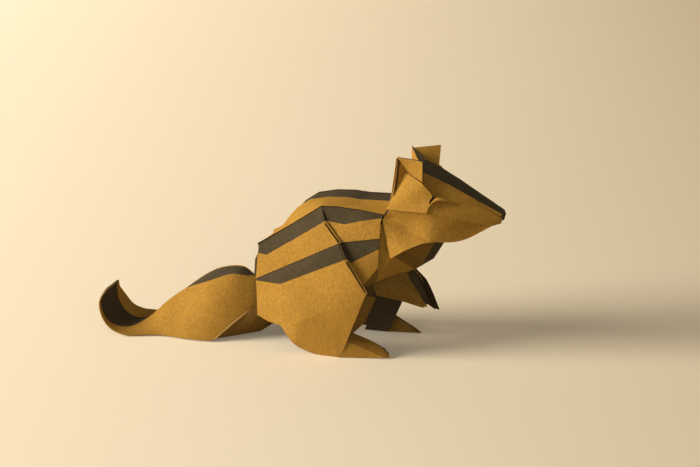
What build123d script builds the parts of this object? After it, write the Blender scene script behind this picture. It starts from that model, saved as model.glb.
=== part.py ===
from build123d import *
import math
import os

# Folded paper chipmunk, standing on its haunches, its feet and its tail.
# x runs from tail to nose, y is the distance to the left of the body's middle plane, z is up.
# All sizes are in millimetres.

# The sheet
PAPER = 0.5  # layers of the sheet pressed together in one wall
LAP = 0.3  # step where a pale pleat lies over the dark face of the sheet

# The body
RUMP_X = -14.0  # rear edge of the haunches
NECK_X = 34.0  # front edge of the flanks
BACK_Z = 56.0  # level of the back
TAIL_ROOT_Z = 26.0  # where the back runs down into the tail
SPINE_HALF = 5.5  # half width of the dark stripe along the back
RIDGE_HALF = 12.0  # half width over the crease below the first pale band
FLANK_HALF = 16.0  # half width of the front body
HAUNCH_HALF = 21.0  # half width over the haunches
PLEAT_DEPTH = 3.0  # how far the haunch stands out over the front flank
HAUNCH_TIP_X = 31.0  # foremost corner of the haunch
HAUNCH_TIP_Z = 26.0
HAUNCH_REST_Z = 0.1  # lowest edge of the haunch above the soles

# The head
CROWN_HALF = 7.0  # half width of the dark crown between the ears
NOSE_HALF = 2.7  # half width of the crown at the nose
SNOUT_REACH = 42.0  # from the neck to the nose
EAR_TOP = 18.0  # ear edge above the back
EAR_HALF = 13.0  # half distance between the front corners of the ears
CHEEK_HALF = 16.5  # half width over the cheeks
CHEEK_DROP = 18.0  # lowest corner of the cheek below the back
EYELID_FLARE = 1.5  # how far the rolled eyelid stands out from the snout

# The limbs
CHEST_Z = 28.0  # lower edge of the chest
ARM_REACH = 15.2  # paw tip in front of the neck
ARM_DROP = 9.9  # paw tip below the chest
FAR_ARM_DROP = 4.3  # the left arm hangs this much lower
FOOT_X = 21.0  # where the foot comes out from under the haunch
FOOT_REACH = 17.6  # foot tip in front of that place
FOOT_RISE = 7.8  # top of the foot where it comes out
FAR_FOOT_FORWARD = 3.0  # the left foot reaches this much further

# The tail, as sections from root to tip. Each has the lower edge of the right panel, the two
# edges of the dark strip on top and the lower edge of the left panel, as distance behind the
# rump, distance to the left and height.
TAIL_SECTIONS = [
    [(-1.5, -11.5, 16.4), (-0.6, -12.2, 25.4), (-1.4, 5.5, 26.3), (-1.5, 11.0, 16.0)],
    [(4.7, -13.5, 10.9), (4.5, -9.2, 24.4), (5.0, 7.0, 23.5), (4.5, 12.0, 10.5)],
    [(16.2, -16.4, 0.0), (11.0, -6.8, 24.2), (12.0, 6.2, 22.7), (16.0, 11.0, 0.3)],
    [(25.6, -16.6, 0.0), (20.0, -6.0, 20.6), (22.0, 6.0, 20.6), (25.0, 8.5, 0.5)],
    [(32.0, -16.2, 0.0), (30.0, -6.2, 15.9), (31.4, 2.5, 14.6), (32.0, 5.0, 1.5)],
    [(37.0, -16.2, 0.3), (37.0, -7.4, 10.6), (38.0, -0.5, 9.4), (39.0, 2.0, 3.2)],
    [(42.5, -18.0, 0.3), (43.0, -9.0, 4.8), (44.0, -3.2, 4.6), (45.0, 0.3, 4.2)],
    [(48.5, -20.4, 0.4), (48.5, -14.0, 1.9), (50.0, -5.0, 2.4), (49.5, 0.0, 4.5)],
    [(54.5, -20.2, 2.0), (54.0, -16.0, 2.5), (54.9, -5.0, 4.7), (54.0, 0.0, 6.2)],
    [(58.8, -18.7, 5.5), (58.2, -15.6, 5.4), (57.2, -6.0, 9.4), (57.0, -1.0, 9.8)],
    [(61.0, -16.6, 10.9), (60.5, -14.3, 10.8), (57.6, -7.2, 13.0), (57.6, -4.5, 13.2)],
    [(59.6, -13.4, 15.0), (59.3, -12.0, 14.9), (56.9, -8.6, 16.0), (56.6, -7.5, 16.0)],
    [(56.4, -9.9, 17.8), (56.3, -9.5, 17.9), (56.1, -9.0, 18.0), (56.0, -8.6, 18.0)],
]
TAIL_STEPS = 2  # facets along the tail between two sections


class FoldedSheet:
    """Panels that meet at shared corners, thickened into one closed solid.

    The corners lie on the outer face. A panel names its corners anticlockwise as seen from
    outside, and its lift raises it above the rest, as a pleat lies over the sheet under it.
    A mirrored sheet also has each corner on the right side, with a minus before its name.
    """

    def __init__(self, corners, mirrored=False, side=1.0):
        self.corners = {}
        self.panels = []
        self.side = side
        for name, (x, y, z) in corners.items():
            self.corners[name] = Vector(x, side * y, z)
            if mirrored:
                self.corners["-" + name] = Vector(x, -side * y, z)

    def panel(self, names, lift=0.0, flipped=False):
        """One panel, given as the names of its corners in one string."""
        names = names.split()
        for second, third in zip(names[1:], names[2:]):
            triangle = (names[0], second, third)
            if flipped != (self.side < 0):
                triangle = triangle[::-1]
            self.panels.append((triangle, lift))

    def pair(self, names, lift=0.0, middle=()):
        """A panel and its mirror image. Corners in the middle plane are shared."""
        self.panel(names, lift)
        twins = [name if name in middle else "-" + name for name in names.split()]
        self.panel(" ".join(twins), lift, flipped=True)

    def normals(self):
        """The outward direction at each corner, averaged over its panels."""
        found = {}
        for names, _ in self.panels:
            points = [self.corners[name] for name in names]
            for i, name in enumerate(names):
                to_next = (points[(i + 1) % 3] - points[i]).normalized()
                to_last = (points[(i + 2) % 3] - points[i]).normalized()
                angle = math.acos(max(-1.0, min(1.0, to_next.dot(to_last))))
                normal = to_next.cross(to_last).normalized() * angle
                found[name] = found.get(name, Vector(0, 0, 0)) + normal
        return {name: normal.normalized() for name, normal in found.items()}

    def solid(self, wall=PAPER):
        """The closed solid of all the panels."""
        normals = self.normals()
        levels = sorted({0.0} | {lift for _, lift in self.panels})
        triangles = []
        sides = {}

        def at(name, height):
            return self.corners[name] + normals[name] * height

        def add_strip(first, second, low, high):
            """Two triangles on one edge, between two heights."""
            triangles.append([at(first, low), at(second, low), at(second, high)])
            triangles.append([at(first, low), at(second, high), at(first, high)])

        for (a, b, c), lift in self.panels:
            triangles.append([at(a, lift), at(b, lift), at(c, lift)])
            triangles.append([at(c, -wall), at(b, -wall), at(a, -wall)])
            for edge in ((a, b), (b, c), (c, a)):
                if edge in sides:
                    raise ValueError(f"two panels run the same way along {edge}")
                sides[edge] = lift
        for (a, b), lift in sides.items():
            twin = sides.get((b, a))
            if twin is None:
                add_strip(a, b, -wall, 0.0)
                twin = 0.0
            for low, high in zip(levels, levels[1:]):
                if twin <= low and high <= lift:
                    add_strip(a, b, low, high)
        faces = [Face(Wire.make_polygon(points, close=True)) for points in triangles]
        return Solid(Shell(faces))


def body_shell():
    """Back, flanks and haunches: one sheet with dark and pale pleats along it."""
    flank = FLANK_HALF
    sheet = FoldedSheet({
        # edge of the dark stripe on the back, from the tail root to the neck
        "s0": (RUMP_X + 0.5, 5.0, TAIL_ROOT_Z),
        "s1": (RUMP_X + 10.5, 5.0, BACK_Z - 9.2),
        "s2": (RUMP_X + 14.2, 5.0, BACK_Z - 4.9),
        "s3": (RUMP_X + 19.0, SPINE_HALF, BACK_Z - 1.6),
        "s4": (RUMP_X + 26.0, SPINE_HALF, BACK_Z),
        "s5": (NECK_X - 15.0, SPINE_HALF, BACK_Z + 0.4),
        "s6": (NECK_X - 9.6, SPINE_HALF, BACK_Z),
        "s7": (NECK_X, SPINE_HALF, BACK_Z + 0.3),
        # crease between the first pale band and the first dark band
        "t0": (RUMP_X, 9.0, BACK_Z - 18.6),
        "tm": (RUMP_X + 12.7, 10.5, BACK_Z - 10.0),
        "t1": (RUMP_X + 25.2, RIDGE_HALF, BACK_Z - 1.4),
        "t2": (NECK_X - 16.8, RIDGE_HALF, BACK_Z - 1.0),
        "t3": (NECK_X - 7.6, RIDGE_HALF + 0.5, BACK_Z - 1.5),
        "t4": (NECK_X + 0.6, RIDGE_HALF, BACK_Z - 2.7),
        # crease between the first dark band and the second pale band
        "u0": (RUMP_X + 0.4, 10.5, BACK_Z - 22.1),
        "uk": (RUMP_X + 4.4, 12.0, BACK_Z - 22.0),
        "u1": (RUMP_X + 27.9, flank, BACK_Z - 6.2),
        "uq": (RUMP_X + 26.9, flank - 1.3, BACK_Z - 6.3),
        "u2": (NECK_X - 12.8, flank - 0.5, BACK_Z - 6.9),
        "u3": (NECK_X - 6.6, flank - 0.8, BACK_Z - 5.2),
        "u4": (NECK_X + 0.3, flank - 2.0, BACK_Z - 4.0),
        # crease between the second pale band and the second dark band
        "v0": (RUMP_X + 0.3, 12.5, TAIL_ROOT_Z - 0.7),
        "v1": (RUMP_X + 34.2, flank + 2.5, BACK_Z - 12.5),
        "vq": (RUMP_X + 32.4, flank + 2.5 - 0.7 * PLEAT_DEPTH, BACK_Z - 12.9),
        "v4": (NECK_X + 0.3, flank - 0.2, BACK_Z - 10.3),
        # crease between the second dark band and the haunch
        "w0": (RUMP_X + 0.6, 13.0, TAIL_ROOT_Z - 1.9),
        "wk": (RUMP_X + 11.2, 17.0, TAIL_ROOT_Z - 1.1),
        "w1": (RUMP_X + 37.2, HAUNCH_HALF - 1.0, BACK_Z - 18.5),
        "wq": (RUMP_X + 35.0, HAUNCH_HALF - 1.0 - 0.9 * PLEAT_DEPTH, BACK_Z - 22.2),
        "w4": (NECK_X + 0.2, flank + 0.4, BACK_Z - 14.7),
        # lower edge of the front flank
        "xq": (HAUNCH_TIP_X - 4.2, HAUNCH_HALF - 1.2 * PLEAT_DEPTH, HAUNCH_TIP_Z - 0.2),
        "x4": (NECK_X - 0.1, flank + 0.3, BACK_Z - 21.0),
        "y4": (NECK_X - 0.8, flank - 1.0, BACK_Z - 27.0),
        # outline of the haunch, from its tip down to the floor and back up to the rump
        "tip": (HAUNCH_TIP_X, HAUNCH_HALF, HAUNCH_TIP_Z),
        "e3": (HAUNCH_TIP_X - 5.3, HAUNCH_HALF - 0.3, 12.7),
        "b1": (FOOT_X - 0.3, HAUNCH_HALF - 1.0, HAUNCH_REST_Z),
        "b2": (FOOT_X - 6.6, HAUNCH_HALF - 0.6, HAUNCH_REST_Z),
        "b3": (FOOT_X - 11.2, HAUNCH_HALF - 0.6, HAUNCH_REST_Z + 0.2),
        "b4": (FOOT_X - 15.2, HAUNCH_HALF - 1.0, 1.5),
        "b5": (FOOT_X - 18.7, HAUNCH_HALF - 1.8, 4.0),
        "b6": (RUMP_X + 12.7, HAUNCH_HALF - 3.0, 7.9),
        "b7": (RUMP_X + 11.3, 17.2, 9.5),
        "b8": (RUMP_X + 5.9, 15.0, 9.7),
        "b9": (RUMP_X + 0.9, 13.0, 11.2),
        # soft crease low on the haunch, and the haunch at its fullest
        "e1": (RUMP_X + 20.8, HAUNCH_HALF - 0.7, 14.5),
        "e2": (RUMP_X + 31.5, HAUNCH_HALF + 0.6, 20.5),
        "hm": (RUMP_X + 17.0, HAUNCH_HALF - 1.1, 22.5),
    }, mirrored=True)
    for rear in range(7):
        sheet.panel(f"s{rear} -s{rear} -s{rear + 1} s{rear + 1}")
    # first pale band, down to the ridge
    for names in ("t0 s0 s1 tm", "tm s1 s2", "tm s2 s3", "tm s3 s4 t1", "t1 s4 s5 t2",
                  "t2 s5 s6 t3", "t3 s6 s7 t4"):
        sheet.pair(names, LAP)
    # first dark band, behind the pleat and in front of it
    for names in ("u0 t0 tm uk", "uk tm t1 u1", "uq t1 t2 u2", "u2 t2 t3 u3", "u3 t3 t4 u4"):
        sheet.pair(names)
    # second pale band
    for names in ("v0 u0 uk", "v0 uk u1 v1", "vq uq u2", "vq u2 u3 v4", "u3 u4 v4"):
        sheet.pair(names, LAP)
    # second dark band
    for names in ("v0 v1 w1 wk w0", "wq vq v4 w4"):
        sheet.pair(names)
    # return of the pleat, tucked under the edge of the haunch
    for names in ("u1 t1 uq", "v1 u1 uq vq", "w1 v1 vq wq", "tip w1 wq xq"):
        sheet.pair(names)
    # lower front flank and the corner turned in under it
    sheet.pair("xq wq w4 x4", LAP)
    sheet.pair("xq x4 y4")
    # the haunch above its soft crease, then the part below that turns in
    for names in ("w0 wk hm", "wk w1 hm", "w1 tip e2 hm", "tip e3 e2", "e2 e1 hm", "e1 b7 hm",
                  "b7 b8 hm", "b8 b9 hm", "b9 w0 hm", "e3 b1 e2", "b1 b2 e2", "b2 b3 e2",
                  "b3 e1 e2", "b3 b4 e1", "b4 b5 e1", "b5 b6 e1", "b6 b7 e1"):
        sheet.pair(names, LAP)
    return sheet.solid()


def head_shell():
    """Dark crown, the sides of the snout and the full cheeks."""
    x, z = NECK_X, BACK_Z
    nose = NECK_X + SNOUT_REACH
    sheet = FoldedSheet({
        # edge of the dark crown, with a horn up to the back corner of each ear
        "r": (x + 9.5, CROWN_HALF - 2.5, z + 11.6),
        "horn": (x + 4.9, EAR_HALF - 3.1, z + EAR_TOP - 0.1),
        "k0": (x + 11.0, CROWN_HALF, z + 13.7),
        "k1": (x + 17.2, CROWN_HALF - 0.5, z + 11.3),
        "k2": (x + 24.3, CROWN_HALF - 1.7, z + 7.9),
        "k3": (nose + 0.2, NOSE_HALF, z - 1.6),
        # upper edge of the snout, where its side laps over the brow
        "g0": (x + 8.0, CROWN_HALF + 4.5, z + 6.5),
        "g1": (x + 19.5, CROWN_HALF + 3.6, z + 4.9),
        "g2": (x + 24.5, CROWN_HALF + 2.6, z + 3.3),
        "g3": (x + 30.7, CROWN_HALF + 0.5, z + 2.1),
        "g4": (nose - 5.9, NOSE_HALF + 2.8, z + 0.4),
        "g5": (nose, NOSE_HALF + 0.3, z - 2.8),
        # crease between snout and cheek
        "f1": (x + 3.2, EAR_HALF + 0.3, z - 0.4),
        "f2": (x + 17.3, EAR_HALF + 1.0, z + 0.2),
        "f3": (x + 26.5, EAR_HALF - 2.5, z - 2.8),
        "f4": (nose - 2.8, NOSE_HALF + 1.3, z - 5.7),
        "f5": (nose - 0.7, NOSE_HALF - 0.7, z - 5.1),
        # cheek
        "n0": (x + 0.5, CHEEK_HALF - 1.0, z - 4.4),
        "n1": (x + 7.2, CHEEK_HALF + 0.5, z - 6.9),
        "n2": (x + 18.3, CHEEK_HALF - 3.0, z - 6.2),
        "c": (x + 4.2, CHEEK_HALF, z - CHEEK_DROP),
        "j1": (x + 9.0, CHEEK_HALF - 1.5, z - 14.7),
        "j2": (x + 14.7, CHEEK_HALF - 4.5, z - 12.2),
        "j3": (x + 17.6, CHEEK_HALF - 6.0, z - 11.9),
        "j4": (x + 22.6, CHEEK_HALF - 8.5, z - 12.3),
        "j5": (x + 26.6, CHEEK_HALF - 10.0, z - 12.5),
        "j6": (x + 30.2, CHEEK_HALF - 11.5, z - 11.1),
        "j7": (nose - 6.9, NOSE_HALF + 1.3, z - 8.3),
    }, mirrored=True)
    # dark crown
    sheet.panel("r -r -k0 k0")
    for rear in range(3):
        sheet.panel(f"k{rear} -k{rear} -k{rear + 1} k{rear + 1}")
    sheet.pair("r k0 horn")
    # brow between the crown and the snout
    for names in ("g0 k0 k1 g1", "g1 k1 g2", "g2 k1 k2", "g2 k2 g3", "g3 k2 k3", "g3 k3 g4",
                  "g4 k3 g5"):
        sheet.pair(names)
    # side of the snout, and the blunt nose
    for names in ("f1 g0 g1 f2", "f2 g1 g2", "f2 g2 f3", "f3 g2 g3", "f3 g3 g4 f4",
                  "f4 g4 g5 f5"):
        sheet.pair(names, LAP)
    sheet.panel("k3 -k3 -g5 -f5 f5 g5")
    # cheek
    for names in ("n0 f1 n1", "f1 f2 n1", "f2 n2 n1", "f2 f3 n2", "c n0 n1", "c n1 j1",
                  "j1 n1 n2", "j1 n2 j2", "j2 n2 j3", "j3 n2 j4", "j4 n2 f3", "j4 f3 j5",
                  "j5 f3 j6", "j6 f3 f4", "j6 f4 j7"):
        sheet.pair(names)
    return sheet.solid()


def nape():
    """Dark neck between the ears, and the back of each ear."""
    x, z = NECK_X, BACK_Z
    sheet = FoldedSheet({
        "s": (x - 2.0, SPINE_HALF - 0.9, z),
        "r": (x + 9.9, CROWN_HALF - 2.9, z + 11.8),
        "a": (x + 5.1, EAR_HALF - 3.6, z + EAR_TOP - 0.6),
        "e": (x + 3.4, EAR_HALF + 0.1, z - 1.4),
        "t": (x - 1.5, RIDGE_HALF - 1.2, z - 2.4),
    }, mirrored=True)
    sheet.panel("s -s -r r")
    sheet.pair("s r a e")
    sheet.pair("t s e")
    return sheet.solid()


def ear_cup(side):
    """Hollow of one ear: a lit front facet and a deep rear facet that meet in a valley."""
    x, z = NECK_X, BACK_Z
    sheet = FoldedSheet({
        "a": (x + 4.8, EAR_HALF - 3.2, z + EAR_TOP),
        "b": (x + 15.1, EAR_HALF - 0.1, z + EAR_TOP + 0.1),
        "c": (x + 14.7, EAR_HALF - 1.5, z + 10.0),
        "g": (x + 14.0, EAR_HALF - 2.2, z + 4.5),
        "d": (x + 8.0, EAR_HALF - 5.5, z + 12.2),
        "e": (x + 3.0, EAR_HALF + 0.1, z - 1.0),
    }, side=side)
    sheet.panel("d a b c g")
    sheet.panel("d e a")
    return sheet.solid()


def ear_flap(side):
    """Flap over the lower half of the ear, with its torn front edge beside the eye."""
    x, z = NECK_X, BACK_Z
    sheet = FoldedSheet({
        "d": (x + 7.5, EAR_HALF - 5.1, z + 12.6),
        "f1": (x + 15.0, EAR_HALF + 0.1, z + 10.3),
        "f2": (x + 18.3, EAR_HALF - 0.2, z + 6.8),
        "f3": (x + 19.0, EAR_HALF - 0.2, z + 5.8),
        "f4": (x + 18.0, EAR_HALF + 0.3, z + 4.1),
        "f5": (x + 18.1, EAR_HALF + 1.2, z + 2.6),
        "f6": (x + 17.3, EAR_HALF + 1.9, z - 0.1),
        "e": (x + 2.2, EAR_HALF + 0.9, z - 0.1),
    }, side=side)
    sheet.panel("e d f1 f2")
    sheet.panel("e f2 f3 f4")
    sheet.panel("e f4 f5 f6")
    return sheet.solid()


def eyelid(side):
    """Narrow rim of the snout rolled outwards over the eye."""
    x, z = NECK_X, BACK_Z
    out = EYELID_FLARE
    brow = CROWN_HALF + 3.4
    sheet = FoldedSheet({
        "p0": (x + 18.4, EAR_HALF - 0.4, z + 1.6),
        "p1": (x + 20.2, brow - 0.2, z + 3.4),
        "p2": (x + 22.0, brow - 0.4, z + 3.9),
        "p3": (x + 24.0, brow - 0.9, z + 3.0),
        "p4": (x + 26.6, brow - 1.6, z + 1.7),
        "q0": (x + 18.2, EAR_HALF - 0.4 + out, z + 2.2),
        "q1": (x + 19.9, brow + 0.6 + out, z + 4.7),
        "q2": (x + 21.8, brow + 0.2 + out, z + 5.2),
        "q3": (x + 24.0, brow - 0.6 + out, z + 4.3),
        "q4": (x + 26.4, brow - 1.2 + 0.4 * out, z + 2.3),
    }, side=side)
    for rear in range(4):
        sheet.panel(f"p{rear} q{rear} q{rear + 1} p{rear + 1}")
    return sheet.solid()


def chest():
    """Chest panels behind the cheeks and the keel of folded layers under the jaw."""
    x, z = NECK_X, CHEST_Z
    top = BACK_Z - 6.0
    sheet = FoldedSheet({
        "a1": (x - 1.2, FLANK_HALF - 0.7, z + 0.6),
        "a2": (x - 2.5, FLANK_HALF + 0.4, z + 11.5),
        "a3": (x - 2.5, FLANK_HALF - 1.3, top),
        "a4": (x + 2.5, CHEEK_HALF - 2.0, top),
        "a5": (x + 4.6, CHEEK_HALF - 1.3, z + 10.6),
        "low": (x + 9.3, 0.0, z + 2.0),
        "t1": (x + 7.6, 9.0, z + 10.4),
        "t2": (x + 13.8, 9.0, z + 16.8),
        "t3": (x + 19.5, 3.4, z + 17.6),
        "t4": (x + 12.9, 2.0, z + 5.3),
        "keel1": (x + 22.8, 0.0, z + 17.8),
        "keel2": (x + 16.3, 0.0, z + 6.7),
    }, mirrored=True)
    sheet.pair("a1 a2 a5")
    sheet.pair("a2 a3 a4 a5")
    for names in ("a1 a5 low", "low a5 t1", "low t1 t4", "t4 t1 t2 t3", "t4 t3 keel1 keel2",
                  "low t4 keel2"):
        sheet.pair(names, middle=("low", "keel1", "keel2"))
    return sheet.solid()


def arm(side, drop):
    """One arm, folded lengthwise, that hangs forward from under the chest."""
    x, z = NECK_X, CHEST_Z
    reach, fall = ARM_REACH, ARM_DROP + drop
    sheet = FoldedSheet({
        "a1": (x - 2.8, FLANK_HALF - 2.0, z - 0.4),
        "a2": (x + 0.6, FLANK_HALF - 2.1, z + 0.9),
        "a3": (x + 4.3, 7.8, z + 1.5),
        "a4": (x + 8.5, 1.0, z + 2.3),
        "a5": (x + 9.8, 2.8, z - 0.18 * fall),
        "a6": (x + 12.2, 4.5, z - 0.58 * fall),
        "a7": (x + reach, 5.5, z - fall),
        "a8": (x + reach - 1.5, 6.2, z - fall - 0.5),
        "a9": (x + 7.3, 8.8, z - 0.8 * fall),
        "a10": (x - 1.4, FLANK_HALF - 2.5, z - 0.5 * fall),
    }, side=side)
    sheet.panel("a10 a1 a2 a3 a9")
    sheet.panel("a9 a3 a7 a8")
    sheet.panel("a3 a4 a5 a6 a7")
    return sheet.solid()


def shin(side):
    """Fold turned in from the front edge of the haunch down to the foot."""
    tip_x, tip_z = HAUNCH_TIP_X, HAUNCH_TIP_Z
    sheet = FoldedSheet({
        "a": (tip_x - 1.2, HAUNCH_HALF - 0.3, tip_z - 1.4),
        "b": (tip_x + 1.6, HAUNCH_HALF - 7.0, tip_z - 3.5),
        "c": (tip_x - 2.5, HAUNCH_HALF - 7.0, 12.7),
        "d": (FOOT_X + 3.0, HAUNCH_HALF - 5.0, FOOT_RISE + 0.4),
        "e": (FOOT_X + 2.4, HAUNCH_HALF - 1.1, FOOT_RISE),
    }, side=side)
    sheet.panel("e a b c d")
    return sheet.solid()


def foot(side, forward):
    """Wedge of the foot: a side panel with a top panel lapped over it."""
    x = FOOT_X
    toe = FOOT_X + FOOT_REACH + forward
    sheet = FoldedSheet({
        "heel": (x - 1.2, HAUNCH_HALF - 1.2, PAPER / 2),
        "toe": (toe, HAUNCH_HALF - 5.2, PAPER),
        "g1": (x + 1.2, HAUNCH_HALF - 1.4, FOOT_RISE - 0.3),
        "g2": (toe - 2.0, HAUNCH_HALF - 5.0, 0.9),
        "f1": (x + 2.9, HAUNCH_HALF - 7.0, FOOT_RISE),
        "f2": (x + 8.3 + 0.8 * forward, HAUNCH_HALF - 7.5, 0.75 * FOOT_RISE + 0.4 * forward),
        "f3": (toe - 3.7, HAUNCH_HALF - 7.4, 0.46 * FOOT_RISE),
        "f4": (toe - 1.4, HAUNCH_HALF - 6.8, 0.22 * FOOT_RISE),
    }, side=side)
    sheet.panel("heel g1 g2 toe")
    sheet.panel("g1 f1 f2 f3 f4 g2", LAP)
    sheet.panel("f4 toe g2")
    return sheet.solid()


def sole(side, forward):
    """Flat underside of one foot."""
    sheet = FoldedSheet({
        "heel": (FOOT_X - 0.6, HAUNCH_HALF - 2.2, 0.0),
        "toe": (FOOT_X + FOOT_REACH + forward - 0.5, HAUNCH_HALF - 5.3, 0.0),
        "arch": (FOOT_X + 2.5, HAUNCH_HALF - 7.5, 0.0),
    }, side=side)
    sheet.panel("heel toe arch")
    return sheet.solid()


def tail():
    """Roof-shaped tail that flattens and curls up behind, dark along its top.

    Its lower edges lie on the floor as far as the curl.
    """
    rails = []
    for rail in range(4):
        points = [(RUMP_X - back, y, z) for back, y, z in (row[rail] for row in TAIL_SECTIONS)]
        rails.append(points)
    corners = {}
    count = (len(TAIL_SECTIONS) - 1) * TAIL_STEPS
    for rail, points in enumerate(rails):
        curve = Edge.make_spline(points, parameters=range(len(points)))
        for i in range(count + 1):
            place = curve.position_at(i / count, position_mode=PositionMode.PARAMETER)
            corners[f"{rail}.{i}"] = (place.X, place.Y, max(place.Z, LAP))
    sheet = FoldedSheet(corners)
    for i in range(count):
        for rail, lift in ((0, LAP), (1, 0.0), (2, LAP)):
            j = i + 1
            sheet.panel(f"{rail}.{i} {rail}.{j} {rail + 1}.{j}", lift)
            sheet.panel(f"{rail}.{i} {rail + 1}.{j} {rail + 1}.{i}", lift)
    return sheet.solid()


def tail_flap():
    """Layer folded back under the root of the tail."""
    x = RUMP_X
    sheet = FoldedSheet({
        "a": (x + 1.5, -11.2, 16.9),
        "b": (x - 15.6, -15.9, 0.7),
        "c": (x - 1.6, -4.0, 1.5),
        "d": (x + 1.6, 2.0, 3.0),
        "e": (x + 3.0, -8.0, 9.0),
    })
    sheet.panel("a b c e")
    sheet.panel("c d e")
    return sheet.solid()


def folded_sheet():
    """The whole figure, folded from one sheet, as one solid on its feet."""
    layers = [head_shell(), nape(), chest(), tail(), tail_flap()]
    for side, drop, forward in ((-1.0, 0.0, 0.0), (1.0, FAR_ARM_DROP, FAR_FOOT_FORWARD)):
        layers += [ear_cup(side), ear_flap(side), eyelid(side), arm(side, drop)]
        layers += [shin(side), foot(side, forward), sole(side, forward)]
    figure = body_shell().fuse(*layers)
    box = figure.bounding_box()
    return Pos(-box.center().X, -box.center().Y, -box.min.Z) * figure


os.makedirs("parts", exist_ok=True)
export_step(folded_sheet(), "parts/folded_sheet.step")
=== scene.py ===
import bmesh
import bpy
import math
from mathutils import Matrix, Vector, noise
from mathutils.geometry import interpolate_bezier
from mathutils.kdtree import KDTree


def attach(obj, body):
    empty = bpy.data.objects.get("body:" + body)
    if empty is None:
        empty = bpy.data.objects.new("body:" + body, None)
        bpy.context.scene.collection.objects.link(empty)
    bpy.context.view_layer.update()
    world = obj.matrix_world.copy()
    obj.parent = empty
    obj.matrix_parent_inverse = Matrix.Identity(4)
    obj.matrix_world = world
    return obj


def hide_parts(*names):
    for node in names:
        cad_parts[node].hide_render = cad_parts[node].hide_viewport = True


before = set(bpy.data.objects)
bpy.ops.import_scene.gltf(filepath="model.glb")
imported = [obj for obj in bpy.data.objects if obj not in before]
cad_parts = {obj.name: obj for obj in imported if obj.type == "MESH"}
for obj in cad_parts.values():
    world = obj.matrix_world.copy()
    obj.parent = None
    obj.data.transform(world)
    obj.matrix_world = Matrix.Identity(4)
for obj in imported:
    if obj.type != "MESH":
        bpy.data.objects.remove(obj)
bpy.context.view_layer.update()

# Folded paper chipmunk. Places are written in millimetres: x runs from tail to nose, y is the
# distance to the left of the body's middle plane and z is up. MID_X brings them to the middle
# of the part.
MM = 0.001
MID_X = 0.526

# The body
RUMP_X = -14.0  # rear edge of the haunches
NECK_X = 34.0  # front edge of the flanks
BACK_Z = 56.0  # level of the back
TAIL_ROOT_Z = 26.0  # where the back runs down into the tail
SPINE_HALF = 5.5  # half width of the dark stripe along the back
RIDGE_HALF = 12.0  # half width over the crease below the first pale band
FLANK_HALF = 16.0  # half width of the front body
HAUNCH_HALF = 21.0  # half width over the haunches
PLEAT_DEPTH = 1.6  # how far the haunch stands out over the front flank
HAUNCH_TIP_X = 31.0  # foremost corner of the haunch
HAUNCH_TIP_Z = 26.0

# The head
CROWN_HALF = 7.0  # half width of the dark crown between the ears
NOSE_HALF = 2.7  # half width of the crown at the nose
SNOUT_REACH = 42.0  # from the neck to the nose
EAR_TOP = 18.0  # ear edge above the back
EAR_HALF = 13.0  # half distance between the front corners of the ears
CHEEK_HALF = 16.5  # half width over the cheeks
CHEEK_DROP = 18.0  # lowest corner of the cheek below the back
EYELID_FLARE = 2.3  # how far the rolled eyelid stands out from the snout

# The limbs
CHEST_Z = 28.0  # lower edge of the chest
ARM_REACH = 15.2  # paw tip in front of the neck
ARM_DROP = 9.9  # paw tip below the chest
FAR_ARM_DROP = 4.3  # the left arm hangs this much lower
FOOT_X = 21.0  # where the foot comes out from under the haunch
FOOT_REACH = 17.6  # foot tip in front of that place
FOOT_RISE = 7.8  # top of the foot where it comes out
FAR_FOOT_FORWARD = 3.0  # the left foot reaches this much further
SHIN_IN = 8.2  # the left shin lies this far inside the outer face of the haunch
SOLE_Z = 0.33  # face of the sole, so that its wall ends just above the floor

# The paper
LAP = 0.3  # a pale pleat lies this much above the dark face of the sheet
DEEP_LAP = 0.45  # the same where several layers are folded under it
WALL = 0.32  # layers of the sheet pressed together
GRAIN = 1.1  # spacing of the vertices in a panel
SPLITS = 7  # rounds of halving that bring the longest panel down to the grain
TAUT_PASSES = 60  # smoothing passes that draw a panel taut between its creases
BELLY_REACH = 4.0  # distance from a crease at which a panel has most of its belly
WAVE, RIPPLE = 14.0, 6.0  # sizes of the unevenness in the paper
SHARP = 0.3  # a crease that turns by more than this angle is shaded as an edge

# Each finish has three slots: its outer face, the back of the sheet and the raw edge.
# the third finish is the tan paper drawn darker as painted shade, for tan panels that lie out of
# the light
TAN, DARK, TAN_PAINTED_SHADE = 0, 3, 6
BACK, EDGE = 1, 2


def linear(colour):
    """Linear RGBA of an sRGB hex value."""
    out = []
    for start in (1, 3, 5):
        value = int(colour[start:start + 2], 16) / 255
        out.append(value / 12.92 if value <= 0.04045 else ((value + 0.055) / 1.055) ** 2.4)
    return (*out, 1.0)


def node(tree, kind, settings=None, **links):
    """Adds a node. Settings name its properties or sockets; links name its input sockets."""
    made = tree.nodes.new(kind)
    for name, value in (settings or {}).items():
        if name in made.inputs:
            made.inputs[name].default_value = value
        else:
            setattr(made, name, value)
    for name, source in links.items():
        tree.links.new(source, made.inputs[name.replace("_", " ")])
    return made


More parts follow.
